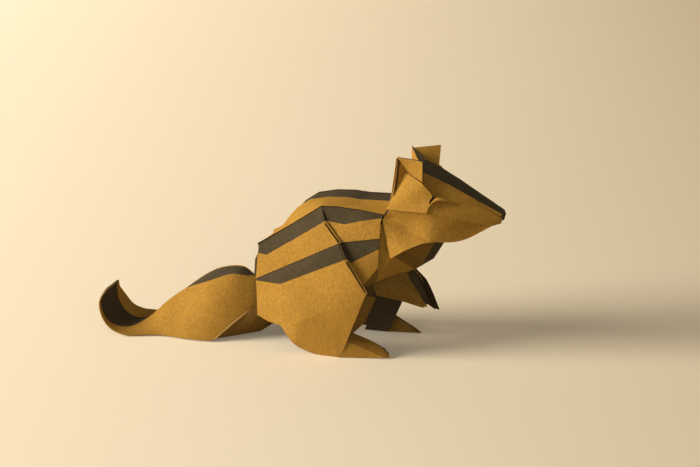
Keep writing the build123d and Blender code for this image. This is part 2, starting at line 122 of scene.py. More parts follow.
def sugar_paper(name, tone, deep, fleck, edge=False):
    """Dyed sugar paper: an uncalendered sheet, matt, with short fibres and a cloudy colour.

    The dye takes unevenly over a centimetre or two, the fibres show as flecks, and the surface
    is rough enough to have no highlight beyond a faint bloom at grazing angles.
    """
    material = bpy.data.materials.new(name)
    material.use_nodes = True
    tree = material.node_tree
    tree.nodes.clear()
    place = node(tree, "ShaderNodeTexCoord").outputs["Object"]
    # clouds in the dye, about 18 mm across
    cloud = node(tree, "ShaderNodeTexNoise", {"Scale": 55.0, "Detail": 3.0, "Roughness": 0.55},
                 Vector=place)
    cloud_ramp = node(tree, "ShaderNodeMapRange", {"From Min": 0.36, "From Max": 0.66},
                      Value=cloud.outputs["Fac"])
    # fibres are 0.1 mm thick; they are drawn about 0.7 mm wide and 1.1 mm long so that they show
    stretch = node(tree, "ShaderNodeMapping", {"Scale": (1.0, 1.0, 0.6)}, Vector=place)
    fibre = node(tree, "ShaderNodeTexNoise", {"Scale": 1500.0, "Detail": 2.0, "Roughness": 0.6},
                 Vector=stretch.outputs["Vector"])
    fibre_ramp = node(tree, "ShaderNodeMapRange", {"From Min": 0.3, "From Max": 0.72},
                      Value=fibre.outputs["Fac"])
    base = node(tree, "ShaderNodeMix", {"data_type": "RGBA", "blend_type": "MIX"})
    base.inputs[6].default_value = linear(tone)
    base.inputs[7].default_value = linear(deep)
    tree.links.new(cloud_ramp.outputs["Result"], base.inputs[0])
    flecked = node(tree, "ShaderNodeMix", {"data_type": "RGBA", "blend_type": "MIX"})
    amount = node(tree, "ShaderNodeMath", {"operation": "MULTIPLY"})
    amount.inputs[1].default_value = 0.75
    tree.links.new(fibre_ramp.outputs["Result"], amount.inputs[0])
    tree.links.new(amount.outputs["Value"], flecked.inputs[0])
    tree.links.new(base.outputs[2], flecked.inputs[6])
    flecked.inputs[7].default_value = linear(fleck)
    # the felt side of the sheet has a tooth of about 0.3 mm, drawn coarser at 1.1 mm so that it
    # shows
    tooth = node(tree, "ShaderNodeTexNoise", {"Scale": 900.0, "Detail": 3.0, "Roughness": 0.65},
                 Vector=place)
    bump = node(tree, "ShaderNodeBump", {"Strength": 0.35, "Distance": 0.00012},
                Height=tooth.outputs["Fac"])
    shader = node(tree, "ShaderNodeBsdfPrincipled",
                  {"Roughness": 0.95 if edge else 0.88, "IOR": 1.45,
                   "Specular IOR Level": 0.3})
    tree.links.new(flecked.outputs[2], shader.inputs["Base Color"])
    tree.links.new(bump.outputs["Normal"], shader.inputs["Normal"])
    out = node(tree, "ShaderNodeOutputMaterial")
    tree.links.new(shader.outputs["BSDF"], out.inputs["Surface"])
    return material


def paper_slots():
    """Outer face, back and raw edge of the tan, dark and shaded tan finishes, in slot order; the
    shaded tan is the tan paper with painted shade.
    """
    tan = sugar_paper("sugar_paper_tan", "#c6953b", "#b58935", "#966c28")
    tan_back = sugar_paper("sugar_paper_tan_back", "#6a5124", "#5c4620", "#4a381a")
    tan_edge = sugar_paper("sugar_paper_tan_torn_edge", "#cfa765", "#be9350", "#987537", True)
    dark = sugar_paper("sugar_paper_umber", "#564a31", "#4c412c", "#383022")
    dark_back = sugar_paper("sugar_paper_umber_back", "#4c3e26", "#423520", "#342a1a")
    dark_edge = sugar_paper("sugar_paper_umber_torn_edge", "#33291a", "#2a2216", "#221b12", True)
    # painted shade: tan paper in darker tones, with the tan back and a raw edge darker still
    tan_painted_shade = sugar_paper("sugar_paper_tan_painted_shade", "#9a7430", "#89672a", "#6c4f20")
    tan_painted_shade_back = sugar_paper("sugar_paper_tan_painted_shade_back", "#6a5124", "#5c4620", "#4a381a")
    tan_painted_shade_edge = sugar_paper("sugar_paper_tan_painted_shade_torn_edge", "#4a3418", "#3e2c15", "#302210", True)
    return [tan, tan_back, tan_edge, dark, dark_back, dark_edge, tan_painted_shade, tan_painted_shade_back, tan_painted_shade_edge]


SLOTS = paper_slots()


def place(x, y, z):
    """A place of the figure in metres, in the frame of the part."""
    return Vector((x - MID_X, y, z)) * MM


def sided(name, side):
    """Name of a piece that the figure has on its left and on its right."""
    return name + ("_left" if side > 0 else "_right")


class Sheet:
    """A piece of paper creased along the edges that its panels share.

    A panel names its corners anticlockwise as seen from outside. Its finish is one of the
    slots above, its lift raises it over the rest, and its belly is how far it bulges between
    its creases. A mirrored sheet has each corner again on the right, with a minus before it.
    """

    def __init__(self, name, corners, side=1.0, mirrored=False):
        self.name = name
        self.side = side
        self.bm = bmesh.new()
        self.panels = []
        self.fold = self.bm.edges.layers.int.new("fold")
        self.number = self.bm.faces.layers.int.new("number")
        self.out = self.bm.verts.layers.float_vector.new("out")
        self.mark = self.bm.verts.layers.int.new("mark")
        self.corner = {}
        for key, (x, y, z) in corners.items():
            self.corner[key] = self.bm.verts.new(place(x, side * y, z))
            if mirrored:
                self.corner["-" + key] = self.bm.verts.new(place(x, -side * y, z))

    def move(self, key, spot):
        """Gives one corner another place."""
        x, y, z = spot
        self.corner[key].co = place(x, self.side * y, z)

    def panel(self, names, finish=TAN, lift=0.0, belly=0.2, flipped=False):
        """One panel between the named corners, with a crease along each of its edges."""
        ring = [self.corner[name] for name in names.split()]
        if flipped != (self.side < 0):
            ring.reverse()
        face = self.bm.faces.new(ring)
        face.material_index = finish
        face[self.number] = len(self.panels)
        self.panels.append((finish, lift, belly))
        for edge in face.edges:
            edge[self.fold] = 1

    def pair(self, names, finish=TAN, lift=0.0, belly=0.2, middle=()):
        """A panel and its twin on the other side, which share the corners in the middle."""
        self.panel(names, finish, lift, belly)
        twins = [name if name in middle else "-" + name for name in names.split()]
        self.panel(" ".join(twins), finish, lift, belly, flipped=True)

    def divide(self, grain, rounded):
        """Cuts the panels into triangles with no edge longer than the grain."""
        bm = self.bm
        for key, vert in self.corner.items():
            vert[self.mark] = 0 if key.lstrip("-") in rounded else 1
        bmesh.ops.delete(bm, geom=[v for v in bm.verts if not v.link_faces], context="VERTS")
        bmesh.ops.triangulate(bm, faces=bm.faces[:])
        for _ in range(SPLITS):
            long = [e for e in bm.edges if e.calc_length() > grain * MM]
            if not long:
                break
            bmesh.ops.subdivide_edges(bm, edges=long, cuts=1)
            wide = [f for f in bm.faces if len(f.verts) > 3]
            bmesh.ops.triangulate(bm, faces=wide)
        loose = [e for e in bm.edges if not e[self.fold]]
        bmesh.ops.beautify_fill(bm, faces=bm.faces[:], edges=loose, method="ANGLE")

    def relax(self, passes):
        """Rounds the unmarked corners along their crease, then draws the panels taut."""
        bm = self.bm
        line = {}
        for vert in bm.verts:
            folds = [e for e in vert.link_edges if e[self.fold]]
            if folds:
                line[vert] = folds
        free = {}
        for vert, folds in line.items():
            if vert[self.mark]:
                continue
            if len(folds) > 2:
                edges = [e for e in folds if e.is_boundary]
                folds = edges if len(edges) == 2 else []
            if len(folds) == 2:
                free[vert] = [e.other_vert(vert) for e in folds]
        for _ in range(passes):
            moved = {v: (v.co * 2 + a.co + b.co) / 4 for v, (a, b) in free.items()}
            for vert, spot in moved.items():
                vert.co = spot
        inner = [v for v in bm.verts if v not in line]
        for _ in range(TAUT_PASSES):
            bmesh.ops.smooth_vert(bm, verts=inner, factor=0.6, use_axis_x=True,
                                  use_axis_y=True, use_axis_z=True)
        return line

    def swell(self, line, crumple):
        """Bulges each panel between its creases and gives the paper a slight unevenness."""
        bm = self.bm
        bm.normal_update()
        tree = KDTree(len(line))
        for i, vert in enumerate(line):
            tree.insert(vert.co, i)
        tree.balance()
        spots = {}
        for vert in bm.verts:
            vert[self.out] = vert.normal
            if vert in line:
                continue
            reach = tree.find(vert.co)[2] / MM
            belly = self.panels[vert.link_faces[0][self.number]][2]
            wave = noise.noise(vert.co / (WAVE * MM)) + 0.5 * noise.noise(vert.co / (RIPPLE * MM))
            rise = (belly + crumple * wave) * (1.0 - math.exp(-reach / BELLY_REACH))
            spots[vert] = vert.co + vert.normal * rise * MM
        for vert, spot in spots.items():
            vert.co = spot

    def layers(self):
        """Parts the panels of different finish or lift, and lifts each to its height."""
        bm = self.bm

        def kind(face):
            finish, lift, _ = self.panels[face[self.number]]
            return finish, lift

        seams = [e for e in bm.edges if len(e.link_faces) == 2
                 and kind(e.link_faces[0]) != kind(e.link_faces[1])]
        top = bm.verts.layers.float.new("top")
        for edge in seams:
            for vert in edge.verts:
                vert[top] = max(vert[top], *(kind(face)[1] for face in edge.link_faces))
        bmesh.ops.split_edges(bm, edges=seams)
        spots = {}
        for vert in bm.verts:
            if not vert.link_faces:
                continue
            lift = kind(vert.link_faces[0])[1]
            spots[vert] = vert.co + vert[self.out] * lift * MM
            if lift < vert[top]:
                # the lower layer runs on a little way under the upper one
                away = Vector()
                for face in vert.link_faces:
                    away += vert.co - face.calc_center_median()
                away -= vert[self.out] * away.dot(vert[self.out])
                spots[vert] += away.normalized() * LAP * MM
        for vert, spot in spots.items():
            vert.co = spot

    def piece(self, rounded="", crumple=0.1, wall=WALL, grain=GRAIN, passes=14, both=False,
              shaded=False, pale=False):
        """The finished object.

        Both says that its back has the finish of its face, shaded that the raw edges of its tan
        panels take the darker edge of the painted-shade tan, and pale that those of its
        painted-shade tan panels keep the pale raw edge of the tan paper.
        """
        self.divide(grain, rounded.split())
        line = self.relax(passes)
        self.swell(line, crumple)
        self.layers()
        bm = self.bm
        for face in bm.faces:
            face.smooth = True
        for edge in bm.edges:
            if edge.is_boundary or (edge[self.fold] and edge.calc_face_angle(0.0) > SHARP):
                edge.smooth = False
        mesh = bpy.data.meshes.new(self.name)
        bm.to_mesh(mesh)
        bm.free()
        for material in SLOTS:
            mesh.materials.append(material)
        # painted shade: the raw edges of tan panels are drawn in a darker edge colour
        if shaded:
            mesh.materials[TAN + EDGE] = SLOTS[TAN_PAINTED_SHADE + EDGE]
        # the painted-shade tan panels keep the tan paper's own pale raw edge
        if pale:
            mesh.materials[TAN_PAINTED_SHADE + EDGE] = SLOTS[TAN + EDGE]
        made = bpy.data.objects.new(self.name, mesh)
        bpy.context.scene.collection.objects.link(made)
        solid = made.modifiers.new("wall", "SOLIDIFY")
        solid.thickness = wall * MM
        solid.offset = -1.0
        solid.material_offset = 0 if both else BACK
        solid.material_offset_rim = EDGE
        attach(made, "root")
        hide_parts("folded_sheet")
        return made


def body():
    """Back, flanks and haunches, with the pleat across the flank."""
    flank = FLANK_HALF
    sheet = Sheet("body", {
        # edge of the dark stripe on the back
        "s0": (RUMP_X + 0.5, 5.0, TAIL_ROOT_Z),
        "s1": (RUMP_X + 10.5, 5.0, BACK_Z - 9.2),
        "s2": (RUMP_X + 14.2, 5.0, BACK_Z - 4.9),
        "s3": (RUMP_X + 19.0, SPINE_HALF, BACK_Z - 1.6),
        "s4": (RUMP_X + 26.0, SPINE_HALF, BACK_Z),
        "s5": (NECK_X - 15.0, SPINE_HALF, BACK_Z + 0.4),
        "s6": (NECK_X - 9.6, SPINE_HALF, BACK_Z),
        "s7": (NECK_X + 2.4, SPINE_HALF, BACK_Z + 0.3),
        # crease between the first pale band and the first dark band
        "t0": (RUMP_X, 9.0, BACK_Z - 18.6),
        "tm": (RUMP_X + 12.7, 10.5, BACK_Z - 10.0),
        "t1": (RUMP_X + 25.2, RIDGE_HALF, BACK_Z - 1.4),
        "t2": (NECK_X - 16.8, RIDGE_HALF, BACK_Z - 1.0),
        "t3": (NECK_X - 7.6, RIDGE_HALF + 0.5, BACK_Z - 1.5),
        "t4": (NECK_X + 0.9, RIDGE_HALF, BACK_Z - 2.7),
        # crease between the first dark band and the second pale band
        "u0": (RUMP_X + 0.4, 10.5, BACK_Z - 22.1),
        "uk": (RUMP_X + 4.4, 12.0, BACK_Z - 22.0),
        "u1": (RUMP_X + 27.9, flank, BACK_Z - 6.2),
        "uq": (RUMP_X + 26.9, flank - 1.3, BACK_Z - 6.3),
        "u2": (NECK_X - 12.8, flank - 0.5, BACK_Z - 6.9),
        "u3": (NECK_X - 6.6, flank - 0.8, BACK_Z - 5.2),
        "u4": (NECK_X + 0.3, flank - 2.0, BACK_Z - 4.0),
        # crease between the second pale band and the second dark band
        "v0": (RUMP_X + 0.3, 12.5, TAIL_ROOT_Z - 0.7),
        "v1": (RUMP_X + 34.2, flank + 2.5, BACK_Z - 12.5),
        "vq": (RUMP_X + 32.4, flank + 2.5 - 0.7 * PLEAT_DEPTH, BACK_Z - 12.9),
        "v4": (NECK_X + 0.3, flank - 0.2, BACK_Z - 10.3),
        # crease between the second dark band and the haunch
        "w0": (RUMP_X + 0.6, 13.0, TAIL_ROOT_Z - 1.9),
        "wk": (RUMP_X + 11.2, 17.0, TAIL_ROOT_Z - 1.1),
        "w1": (RUMP_X + 37.2, HAUNCH_HALF - 1.0, BACK_Z - 18.5),
        "wq": (RUMP_X + 35.0, HAUNCH_HALF - 1.0 - 0.9 * PLEAT_DEPTH, BACK_Z - 22.2),
        "w4": (NECK_X + 0.2, flank + 0.4, BACK_Z - 14.7),
        # lower edge of the front flank
        "xq": (HAUNCH_TIP_X - 4.2, HAUNCH_HALF - 1.2 * PLEAT_DEPTH, HAUNCH_TIP_Z - 0.2),
        "x4": (NECK_X - 0.1, flank + 0.3, BACK_Z - 21.0),
        "y4": (NECK_X - 0.8, flank - 1.0, BACK_Z - 27.0),
        # outline of the haunch
        "tip": (HAUNCH_TIP_X, HAUNCH_HALF, HAUNCH_TIP_Z),
        "e3": (HAUNCH_TIP_X - 5.3, HAUNCH_HALF - 0.3, 12.7),
        "b1": (FOOT_X - 0.3, HAUNCH_HALF - 2.0, 0.1),
        "b2": (FOOT_X - 6.6, HAUNCH_HALF - 2.2, 0.1),
        "b3": (FOOT_X - 11.2, HAUNCH_HALF - 2.4, 0.3),
        "b4": (FOOT_X - 15.2, HAUNCH_HALF - 2.6, 1.5),
        "b5": (FOOT_X - 18.7, HAUNCH_HALF - 1.8, 4.0),
        "b6": (RUMP_X + 12.7, HAUNCH_HALF - 3.0, 7.9),
        "b7": (RUMP_X + 11.3, 17.2, 9.5),
        "b8": (RUMP_X + 5.9, 15.0, 9.7),
        "b9": (RUMP_X + 0.9, 13.0, 11.2),
        # the haunch's soft crease low down
        "e1": (RUMP_X + 20.0, HAUNCH_HALF - 0.1, 13.2),
        "e2": (RUMP_X + 31.5, HAUNCH_HALF + 0.4, 18.6),
    }, mirrored=True)
    # on the far side the first bands fall away more steeply
    for key, fall in (("tm", 1.6), ("t1", 1.5), ("t2", 1.7), ("t3", 1.6), ("t4", 1.2)):
        sheet.corner[key].co.z -= fall * MM
    for rear in range(7):
        sheet.panel(f"s{rear} -s{rear} -s{rear + 1} s{rear + 1}", DARK, belly=0.15)
    sheet.pair("t0 s0 s1 s2 s3 s4 t1 tm", TAN, LAP, 0.25)
    sheet.pair("t1 s4 s5 t2", TAN, LAP, 0.1)
    sheet.pair("t2 s5 s6 t3", TAN, LAP, 0.1)
    sheet.pair("t3 s6 s7 t4", TAN, LAP, 0.1)
    sheet.pair("u0 t0 tm t1 u1 uk", DARK, belly=0.25)
    sheet.pair("uq t1 t2 u2", DARK, belly=-0.2)
    sheet.pair("u2 t2 t3 u3", DARK, belly=0.15)
    sheet.pair("u3 t3 t4 u4", DARK, belly=0.15)
    sheet.pair("v0 u0 uk u1 v1", TAN, LAP, 0.3)
    sheet.pair("vq uq u2", TAN, LAP, -0.1)
    sheet.pair("vq u2 u3 v4", TAN, LAP, 0.15)
    sheet.pair("u3 u4 v4", TAN, LAP, 0.1)
    sheet.pair("v0 v1 w1 wk w0", DARK, belly=0.25)
    sheet.pair("wq vq v4 w4", DARK, belly=0.1)
    sheet.pair("u1 t1 uq", DARK, belly=0.0)
    sheet.pair("v1 u1 uq vq", DARK, belly=0.0)
    sheet.pair("w1 v1 vq wq", DARK, belly=0.0)
    sheet.pair("tip w1 wq xq", DARK, belly=0.0)
    sheet.pair("xq wq w4 x4", TAN, LAP, 0.1)
    # painted shade: the turned-in corner below the front flank is tan drawn darker
    sheet.pair("xq x4 y4", TAN_PAINTED_SHADE, belly=-0.1)
    sheet.pair("w0 wk w1 tip e2 e1 b7 b8 b9", TAN, LAP, 0.5)
    sheet.pair("tip e3 b1 b2 b3 b4 b5 b6 b7 e1 e2", TAN, LAP, 0.3)
    return sheet.piece("b2 b3 b4 b6 e1 e2 s2 s3", crumple=0.22, shaded=True, wall=0.45)


def rump_fold(side):
    """Dark edge of the layer tucked in behind the rump."""
    sheet = Sheet(sided("rump_fold", side), {
        "a": (RUMP_X + 0.1, 10.2, BACK_Z - 22.4),
        "b": (RUMP_X - 0.9, 9.7, BACK_Z - 24.6),
        "c": (RUMP_X - 0.7, 11.4, TAIL_ROOT_Z + 0.6),
        "d": (RUMP_X + 0.5, 12.4, TAIL_ROOT_Z - 0.4),
        "e": (RUMP_X + 2.4, 11.4, BACK_Z - 25.4),
    }, side=side)
    sheet.panel("a b c d e", DARK)
    return sheet.piece()


def head():
    """Dark crown, the sides of the snout and the full cheeks."""
    x, z = NECK_X, BACK_Z
    nose = NECK_X + SNOUT_REACH
    sheet = Sheet("head", {
        # edge of the dark crown, with the strip that runs up the front of the ear
        "r": (x + 9.5, CROWN_HALF - 2.5, z + 11.6),
        "horn": (x + 4.9, EAR_HALF - 3.1, z + EAR_TOP - 0.1),
        "k0": (x + 11.0, CROWN_HALF, z + 13.7),
        "k1": (x + 17.2, CROWN_HALF - 0.5, z + 11.3),
        "k2": (x + 24.3, CROWN_HALF - 1.7, z + 7.9),
        "k3": (nose - 0.1, NOSE_HALF, z - 1.6),
        # crease between the brow and the side of the snout
        "g0": (x + 8.0, CROWN_HALF + 4.5, z + 6.5),
        "g1": (x + 19.5, CROWN_HALF + 3.6, z + 4.9),
        "g2": (x + 24.5, CROWN_HALF + 2.6, z + 3.3),
        "g3": (x + 30.7, CROWN_HALF + 0.5, z + 2.1),
        "g4": (nose - 5.9, NOSE_HALF + 2.8, z + 0.4),
        "g5": (nose - 0.2, NOSE_HALF + 0.3, z - 2.8),
        # crease along the lower edge of the snout
        "f1": (x + 3.2, EAR_HALF + 0.3, z - 0.4),
        "f2": (x + 17.3, EAR_HALF + 1.0, z + 0.2),
        "f3": (x + 26.5, EAR_HALF - 2.5, z - 2.8),
        "f4": (nose - 2.8, NOSE_HALF + 1.3, z - 5.7),
        "f5": (nose - 0.7, NOSE_HALF - 0.7, z - 5.1),
        # rear edge of the cheek, the soft valley in it, and its lower edge
        "n0": (x + 0.7, CHEEK_HALF - 2.6, z - 4.4),
        "c": (x + 4.2, CHEEK_HALF - 0.9, z - CHEEK_DROP),
        "m": (x + 9.7, CHEEK_HALF - 4.5, z - 7.9),
        "j1": (x + 9.4, CHEEK_HALF - 0.3, z - 14.4),
        "j2": (x + 15.4, CHEEK_HALF - 2.3, z - 11.6),
        "j3": (x + 18.3, CHEEK_HALF - 3.7, z - 11.3),
        "j4": (x + 23.2, CHEEK_HALF - 6.5, z - 11.8),
        "j5": (x + 27.1, CHEEK_HALF - 8.5, z - 12.1),
        "j6": (x + 30.5, CHEEK_HALF - 10.5, z - 10.8),
        "j7": (nose - 6.9, NOSE_HALF + 1.3, z - 8.3),
    }, mirrored=True)
    sheet.panel("r -r -k0 k0", DARK, belly=0.1)
    for rear in range(3):
        sheet.panel(f"k{rear} -k{rear} -k{rear + 1} k{rear + 1}", DARK, belly=0.15)
    sheet.pair("r k0 horn", DARK, belly=0.0)
    sheet.pair("g0 k0 k1 k2 k3 g5 g4 g3 g2 g1", TAN, belly=-0.15)
    sheet.pair("f1 g0 g1 g2 g3 g4 g5 f5 f4 f3 f2", TAN, DEEP_LAP, 0.6)
    sheet.panel("k3 -k3 -g5 -f5 f5 g5", DARK, belly=0.0)
    sheet.pair("n0 f1 f2 f3 f4 j7 j6 j5 j4 j3 m", TAN, belly=-1.2)
    sheet.pair("c n0 m j3 j2 j1", TAN, belly=0.2)
    return sheet.piece("g1 g2 g3 g4 f3 j1 j2 j3 j4 j5 j6 k1 k2", crumple=0.15, shaded=True,
                       wall=0.5)


def nape():
    """Dark neck between the ears, and the back of each ear."""
    x, z = NECK_X, BACK_Z
    sheet = Sheet("nape", {
        "s": (x + 1.8, SPINE_HALF - 0.6, z),
        "r": (x + 9.9, CROWN_HALF - 2.9, z + 11.8),
        "a": (x + 5.1, EAR_HALF - 3.6, z + EAR_TOP - 0.6),
        "e": (x + 3.4, EAR_HALF + 0.1, z - 1.4),
        "t": (x + 0.6, RIDGE_HALF - 1.2, z - 2.6),
    }, mirrored=True)
    sheet.panel("s -s -r r", DARK)
    sheet.pair("s r a e", TAN)
    sheet.pair("t s e", DARK)
    return sheet.piece()


def ear_cup(side):
    """Hollow of one ear: a lit front facet and a deep rear facet that meet in a valley."""
    x, z = NECK_X, BACK_Z
    sheet = Sheet(sided("ear_cup", side), {
        "a": (x + 4.8, EAR_HALF - 3.2, z + EAR_TOP),
        "b": (x + 15.1, EAR_HALF - 0.1, z + EAR_TOP + 0.1),
        "c": (x + 14.7, EAR_HALF - 1.5, z + 10.0),
        "g": (x + 14.0, EAR_HALF - 2.2, z + 4.5),
        "d": (x + 8.0, EAR_HALF - 5.5, z + 12.2),
        "e": (x + 3.0, EAR_HALF + 0.1, z - 1.0),
    }, side=side)
    if side > 0:
        # the rear corner of the left ear is folded over
        sheet.move("a", (x + 5.9, EAR_HALF - 3.4, z + EAR_TOP - 0.9))
    sheet.panel("d a b c g", TAN, belly=0.1)
    sheet.panel("d e a", TAN, belly=0.1)
    return sheet.piece(both=True)


def ear_flap(side):
    """Flap over the lower half of the ear, with its torn front edge beside the eye."""
    x, z = NECK_X, BACK_Z
    sheet = Sheet(sided("ear_flap", side), {
        "d": (x + 7.5, EAR_HALF - 5.1, z + 12.6),
        "f1": (x + 15.0, EAR_HALF + 0.1, z + 10.3),
        "f2": (x + 18.3, EAR_HALF - 0.2, z + 6.8),
        "f3": (x + 19.0, EAR_HALF - 0.2, z + 5.8),
        "f4": (x + 18.0, EAR_HALF + 0.3, z + 4.1),
        "f5": (x + 18.1, EAR_HALF + 1.2, z + 2.6),
        "f6": (x + 17.3, EAR_HALF + 1.9, z - 0.1),
        "e": (x + 2.2, EAR_HALF + 0.9, z - 0.1),
    }, side=side)
    sheet.panel("e d f1 f2 f3 f4 f5 f6", TAN, belly=0.3)
    return sheet.piece(grain=0.7, both=True)


def eyelid(side):
    """Narrow rim of the snout rolled outwards over the eye."""
    x, z = NECK_X, BACK_Z
    out = EYELID_FLARE
    brow = CROWN_HALF + 3.4
    sheet = Sheet(sided("eyelid", side), {
        "p0": (x + 18.4, EAR_HALF - 0.4, z + 1.6),
        "p1": (x + 20.2, brow - 0.2, z + 3.4),
        "p2": (x + 22.0, brow - 0.4, z + 3.9),
        "p3": (x + 24.0, brow - 0.9, z + 3.0),
        "p4": (x + 26.6, brow - 1.6, z + 1.7),
        "q0": (x + 18.2, EAR_HALF - 0.4 + out, z + 2.2),
        "q1": (x + 19.9, brow + 0.6 + out, z + 4.9),
        "q2": (x + 21.8, brow + 0.2 + out, z + 5.5),
        "q3": (x + 24.0, brow - 0.6 + out, z + 4.6),
        "q4": (x + 26.8, brow - 1.4 + 0.5 * out, z + 2.2),
        # the rim rolls over and ends a little lower
        "r0": (x + 18.0, EAR_HALF - 0.1 + out, z + 1.7),
        "r1": (x + 19.6, brow + 1.2 + out, z + 4.0),
        "r2": (x + 21.7, brow + 0.9 + out, z + 4.7),
        "r3": (x + 23.8, brow + 0.1 + out, z + 4.0),
    }, side=side)
    sheet.panel("p0 q0 q1 q2 q3 q4 p4 p3 p2 p1", TAN, belly=0.1)
    sheet.panel("q0 r0 r1 r2 r3 q4 q3 q2 q1", TAN, belly=0.1)
    return sheet.piece("p1 p2 p3 q0 q1 q2 q3 r1 r2 r3", grain=0.4, both=True)


def eye(side):
    """Dark sheet in the hollow of the eye, between the torn edge of the ear flap and the eyelid:
    painted shade of the hollow.
    """
    x, z = NECK_X, BACK_Z
    sheet = Sheet(sided("eye", side), {
        "a": (x + 16.4, EAR_HALF - 0.2, z + 2.2),
        "b": (x + 18.2, EAR_HALF + 0.5, z + 2.0),
        "c": (x + 19.3, EAR_HALF - 0.5, z + 3.9),
        "d": (x + 19.6, EAR_HALF - 1.7, z + 5.4),
        "e": (x + 16.8, EAR_HALF - 1.6, z + 5.8),
    }, side=side)
    # painted shade: the umber sheet stands for the shade inside the hollow
    sheet.panel("a e d c b", DARK, belly=-0.2)
    return sheet.piece("b c d", grain=0.6)


def ear_lining(side):
    """Second layer of the ear, whose dark raw edge shows along the top."""
    x, z = NECK_X, BACK_Z
    sheet = Sheet(sided("ear_lining", side), {
        "a": (x + 4.9, EAR_HALF - 3.9, z + EAR_TOP + 0.0),
        "b": (x + 15.0, EAR_HALF - 0.8, z + EAR_TOP + 0.15),
        "c": (x + 14.6, EAR_HALF - 2.2, z + 10.0),
        "d": (x + 8.4, EAR_HALF - 6.4, z + 12.2),
    }, side=side)
    sheet.panel("d a b c", DARK, belly=0.05)
    return sheet.piece()


def nose_fold(back, low, high):
    """Inner layer of the blunt nose, a little behind the edge of the snout."""
    nose = NECK_X + SNOUT_REACH
    z = BACK_Z
    wide = NOSE_HALF + 0.2
    sheet = Sheet("nose_fold", {
        "a": (nose - back, wide, z + high),
        "b": (nose - back - 0.4, wide, z + low),
        "c": (nose - back - 2.0, wide + 0.6, z + low - 0.1),
        "d": (nose - back - 2.0, wide + 0.6, z + high + 0.2),
    }, mirrored=True)
    sheet.panel("a -a -b b", DARK, belly=0.0)
    # painted shade: the sides of the inner nose layer are tan drawn darker
    sheet.pair("a b c d", TAN_PAINTED_SHADE, belly=0.0)
    return sheet.piece(crumple=0.03)


def chest():
    """Chest panels behind the cheeks and the keel of folded layers under the jaw."""
    x, z = NECK_X, CHEST_Z
    top = BACK_Z - 6.0
    sheet = Sheet("chest", {
        # pale panels between the flank and the cheek
        "a1": (x - 1.2, FLANK_HALF - 0.7, z + 0.6),
        "a2": (x - 2.5, FLANK_HALF + 0.4, z + 11.5),
        "a3": (x - 2.5, FLANK_HALF - 1.3, top),
        "a4": (x + 2.5, CHEEK_HALF - 4.4, top),
        "a5": (x + 4.6, CHEEK_HALF - 2.6, z + 10.6),
        # tan panels of the throat, drawn darker as painted shade
        "low": (x + 9.3, 0.0, z + 2.0),
        "t1": (x + 7.4, 10.0, z + 12.6),
        "t2": (x + 13.8, 9.0, z + 16.8),
        "t3": (x + 19.5, 3.4, z + 17.6),
        "t4": (x + 12.9, 2.0, z + 5.3),
        # dark layers in the middle
        "keel1": (x + 22.8, 0.0, z + 17.8),
        "keel2": (x + 16.3, 0.0, z + 6.7),
    }, mirrored=True)
    middle = ("low", "keel1", "keel2")
    sheet.pair("a1 a2 a5", TAN, belly=0.0)
    sheet.pair("a2 a3 a4 a5", TAN, belly=0.0)
    sheet.pair("a1 a5 low", TAN, belly=0.2, middle=middle)
    # painted shade: the throat panels are tan drawn darker
    sheet.pair("low a5 t1", TAN_PAINTED_SHADE, belly=0.0, middle=middle)
    sheet.pair("low t1 t4", TAN_PAINTED_SHADE, belly=0.0, middle=middle)
    sheet.pair("t4 t1 t2 t3", TAN_PAINTED_SHADE, belly=0.1, middle=middle)
    sheet.pair("t4 t3 keel1 keel2", DARK, belly=0.0, middle=middle)
    sheet.pair("low t4 keel2", DARK, belly=0.0, middle=middle)
    return sheet.piece()


def arm(side, drop):
    """One arm, folded lengthwise, that hangs forward from under the chest."""
    x, z = NECK_X, CHEST_Z
    reach, fall = ARM_REACH, ARM_DROP + drop
    sheet = Sheet(sided("arm", side), {
        "a1": (x - 2.8, FLANK_HALF - 2.0, z - 0.4),
        "a2": (x + 0.6, FLANK_HALF - 2.1, z + 0.9),
        "a3": (x + 4.3, 7.8, z + 1.5),
        "a4": (x + 8.5, 1.0, z + 2.3),
        "a5": (x + 9.8, 2.8, z - 0.18 * fall),
        "a6": (x + 12.2, 4.5, z - 0.58 * fall),
        "a7": (x + reach, 5.5, z - fall),
        "a8": (x + reach - 1.5, 6.2, z - fall - 0.5),
        "a9": (x + 7.3, 8.8, z - 0.8 * fall),
        "a10": (x - 1.4, FLANK_HALF - 2.5, z - 0.5 * fall),
    }, side=side)
    if side > 0:
        # the left arm reaches a little further forward
        for key, shift in (("a5", 1.6), ("a6", 2.2), ("a7", 1.6), ("a8", 1.4)):
            sheet.corner[key].co.x += shift * MM
    # painted shade: the arm is tan paper drawn darker, as it hangs in shade
    sheet.panel("a10 a1 a2 a3 a7 a8 a9", TAN_PAINTED_SHADE, LAP, 0.2)
    sheet.panel("a3 a4 a5 a6 a7", TAN_PAINTED_SHADE, belly=0.1)
    return sheet.piece("a5 a6 a9", pale=True)


def cuff(side, drop):
    """Dark inner layers of an arm, each with its raw edge past the one outside it."""
    x, z = NECK_X, CHEST_Z
    reach, fall = ARM_REACH, ARM_DROP + drop
    shift = 1.8 if side > 0 else 0.0
    for layer, out in enumerate((0.7, 1.6)):
        inward = 0.7 + 0.8 * layer
        sheet = Sheet(sided(f"arm_layer_{layer}", side), {
            "a3": (x + 4.5, 7.6 - inward, z + 1.2),
            "a4": (x + 8.9 + 0.3 * out, 1.2, z + 1.9),
            "a5": (x + 10.0 + out + shift, 2.4 - 0.4 * inward, z - 0.16 * fall),
            "a6": (x + 12.2 + out + shift, 4.2 - inward, z - 0.54 * fall),
            "a7": (x + reach + 0.35 * out + shift, 5.2 - inward, z - 0.96 * fall),
            "a8": (x + reach - 1.6 + shift, 6.0 - inward, z - 0.97 * fall),
        }, side=side)
        sheet.panel("a3 a4 a5 a6 a7 a8", DARK, belly=0.1)
        sheet.piece("a5 a6")


